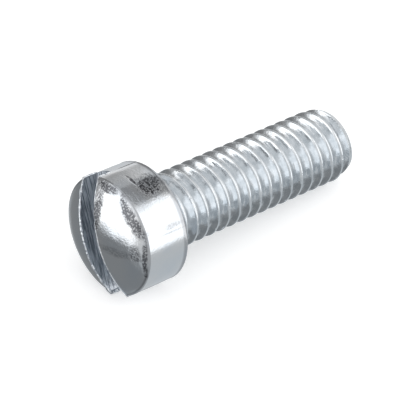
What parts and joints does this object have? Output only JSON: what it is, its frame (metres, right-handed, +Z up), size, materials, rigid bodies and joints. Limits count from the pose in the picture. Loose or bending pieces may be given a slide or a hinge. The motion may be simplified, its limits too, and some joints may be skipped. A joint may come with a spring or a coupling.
{
  "type": "slotted fillister head machine screw",
  "caption": "Zinc plated steel machine screw with a tall domed slotted head and a full length right-hand metric thread, for clamping a part to a tapped hole.",
  "frame": {"origin": "centre of the bearing face under the head, on the screw's axis", "axes": "+X from the head towards the tip, level; +Z up, as the screw lies on a flat surface, resting on the head's lower edge and the thread near the tip, so its axis dips 5.55 degrees below +X"},
  "size_m": [0.0158, 0.0062, 0.0064],
  "materials": {
    "zinc": "satin bright zinc plating"
  },
  "bodies": {
    "root": {"screw": "zinc"}
  },
  "joints": []
}
